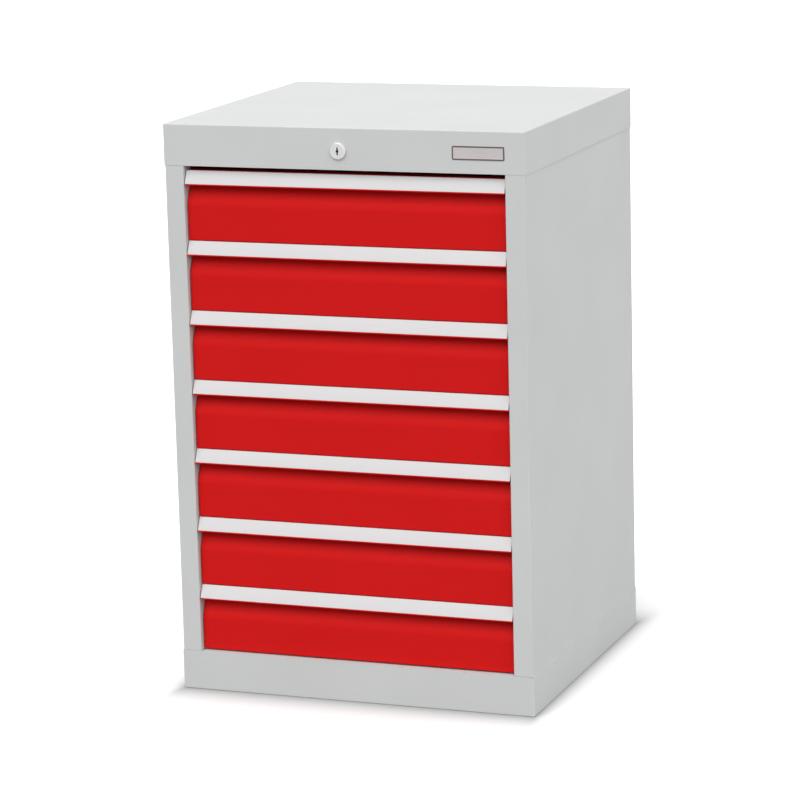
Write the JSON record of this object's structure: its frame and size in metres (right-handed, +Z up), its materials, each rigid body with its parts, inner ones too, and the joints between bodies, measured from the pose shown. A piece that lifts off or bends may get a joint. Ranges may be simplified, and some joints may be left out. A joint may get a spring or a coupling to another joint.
{
  "type": "reagent drawer cabinet",
  "caption": "Free-standing steel drawer cabinet with equal full-width drawers, leaning grip strips, a flat top and one key lock for all drawers.",
  "frame": {"origin": "centre of the footprint on the floor, the lock's bezel included", "axes": "-Y is the front with the drawers, +X is to the right seen from the front, +Z is up"},
  "size_m": [0.533, 0.5034, 0.8208],
  "materials": {
    "carcass_grey": "light grey powder coat, matt, fine texture",
    "drawer_red": "signal red powder coat, matt",
    "strip_pale": "near-white powder coat, satin",
    "drawer_grey": "grey powder coat, matt",
    "zinc_steel": "zinc plated",
    "lock_nickel": "satin nickel",
    "plate_aluminium": "brushed, darker rim",
    "bush_nylon": "natural nylon"
  },
  "bodies": {
    "root": {"top_cap": "carcass_grey", "base_tray": "carcass_grey", "side_panel_right": "carcass_grey", "side_panel_left": "carcass_grey", "rear_panel": "carcass_grey", "rear_rivets": "zinc_steel", "upright_front_right": "zinc_steel", "upright_front_left": "zinc_steel", "upright_rear_right": "zinc_steel", "upright_rear_left": "zinc_steel", "runner_cases_right": "zinc_steel", "runner_cases_left": "zinc_steel", "badge_plate": "plate_aluminium", "lock_housing": "lock_nickel", "lock_nut": "zinc_steel", "bar_guides": "zinc_steel", "shaft_bracket": "zinc_steel", "shaft_bush": "bush_nylon"},
    "lock_rotor": {"lock_plug": "lock_nickel", "lock_shaft": "zinc_steel", "lock_crank": "zinc_steel"},
    "locking_bar": {"lock_bar": "zinc_steel", "lock_catches": "zinc_steel"},
    "drawer_1": {"drawer_1_front": "drawer_red", "drawer_1_handle_strip": "strip_pale", "drawer_1_box": "drawer_grey", "drawer_1_runners": "zinc_steel"},
    "drawer_1_middles": {"drawer_1_middle_runners": "zinc_steel"},
    "drawer_2": {"drawer_2_front": "drawer_red", "drawer_2_handle_strip": "strip_pale", "drawer_2_box": "drawer_grey", "drawer_2_runners": "zinc_steel"},
    "drawer_2_middles": {"drawer_2_middle_runners": "zinc_steel"},
    "drawer_3": {"drawer_3_front": "drawer_red", "drawer_3_handle_strip": "strip_pale", "drawer_3_box": "drawer_grey", "drawer_3_runners": "zinc_steel"},
    "drawer_3_middles": {"drawer_3_middle_runners": "zinc_steel"},
    "drawer_4": {"drawer_4_front": "drawer_red", "drawer_4_handle_strip": "strip_pale", "drawer_4_box": "drawer_grey", "drawer_4_runners": "zinc_steel"},
    "drawer_4_middles": {"drawer_4_middle_runners": "zinc_steel"},
    "drawer_5": {"drawer_5_front": "drawer_red", "drawer_5_handle_strip": "strip_pale", "drawer_5_box": "drawer_grey", "drawer_5_runners": "zinc_steel"},
    "drawer_5_middles": {"drawer_5_middle_runners": "zinc_steel"},
    "drawer_6": {"drawer_6_front": "drawer_red", "drawer_6_handle_strip": "strip_pale", "drawer_6_box": "drawer_grey", "drawer_6_runners": "zinc_steel"},
    "drawer_6_middles": {"drawer_6_middle_runners": "zinc_steel"},
    "drawer_7": {"drawer_7_front": "drawer_red", "drawer_7_handle_strip": "strip_pale", "drawer_7_box": "drawer_grey", "drawer_7_runners": "zinc_steel"},
    "drawer_7_middles": {"drawer_7_middle_runners": "zinc_steel"}
  },
  "joints": [
    {"name": "drawer_1_slide", "type": "slide", "parent": "root", "child": "drawer_1", "axis": [0, -1, 0], "range_m": [0, 0.42]},
    {"name": "drawer_1_middle_slide", "type": "slide", "parent": "root", "child": "drawer_1_middles", "axis": [0, -1, 0], "range_m": [0, 0.21]},
    {"name": "drawer_2_slide", "type": "slide", "parent": "root", "child": "drawer_2", "axis": [0, -1, 0], "range_m": [0, 0.42]},
    {"name": "drawer_2_middle_slide", "type": "slide", "parent": "root", "child": "drawer_2_middles", "axis": [0, -1, 0], "range_m": [0, 0.21]},
    {"name": "drawer_3_slide", "type": "slide", "parent": "root", "child": "drawer_3", "axis": [0, -1, 0], "range_m": [0, 0.42]},
    {"name": "drawer_3_middle_slide", "type": "slide", "parent": "root", "child": "drawer_3_middles", "axis": [0, -1, 0], "range_m": [0, 0.21]},
    {"name": "drawer_4_slide", "type": "slide", "parent": "root", "child": "drawer_4", "axis": [0, -1, 0], "range_m": [0, 0.42]},
    {"name": "drawer_4_middle_slide", "type": "slide", "parent": "root", "child": "drawer_4_middles", "axis": [0, -1, 0], "range_m": [0, 0.21]},
    {"name": "drawer_5_slide", "type": "slide", "parent": "root", "child": "drawer_5", "axis": [0, -1, 0], "range_m": [0, 0.42]},
    {"name": "drawer_5_middle_slide", "type": "slide", "parent": "root", "child": "drawer_5_middles", "axis": [0, -1, 0], "range_m": [0, 0.21]},
    {"name": "drawer_6_slide", "type": "slide", "parent": "root", "child": "drawer_6", "axis": [0, -1, 0], "range_m": [0, 0.42]},
    {"name": "drawer_6_middle_slide", "type": "slide", "parent": "root", "child": "drawer_6_middles", "axis": [0, -1, 0], "range_m": [0, 0.21]},
    {"name": "drawer_7_slide", "type": "slide", "parent": "root", "child": "drawer_7", "axis": [0, -1, 0], "range_m": [0, 0.42]},
    {"name": "drawer_7_middle_slide", "type": "slide", "parent": "root", "child": "drawer_7_middles", "axis": [0, -1, 0], "range_m": [0, 0.21]},
    {"name": "lock_turn", "type": "hinge", "parent": "root", "child": "lock_rotor", "pos_m": [-0.004, -0.24825, 0.7885], "axis": [0, -1, 0], "range_deg": [0, 90]},
    {"name": "bar_lift", "type": "slide", "parent": "root", "child": "locking_bar", "axis": [0, 0, 1], "range_m": [0, 0.01272]}
  ],
  "couplings": [
    {"joint": "drawer_1_middle_slide", "follows": "drawer_1_slide", "ratio": 0.5},
    {"joint": "drawer_2_middle_slide", "follows": "drawer_2_slide", "ratio": 0.5},
    {"joint": "drawer_3_middle_slide", "follows": "drawer_3_slide", "ratio": 0.5},
    {"joint": "drawer_4_middle_slide", "follows": "drawer_4_slide", "ratio": 0.5},
    {"joint": "drawer_5_middle_slide", "follows": "drawer_5_slide", "ratio": 0.5},
    {"joint": "drawer_6_middle_slide", "follows": "drawer_6_slide", "ratio": 0.5},
    {"joint": "drawer_7_middle_slide", "follows": "drawer_7_slide", "ratio": 0.5},
    {"joint": "lock_turn", "follows": "bar_lift", "rad_per_m": 123.41}
  ]
}
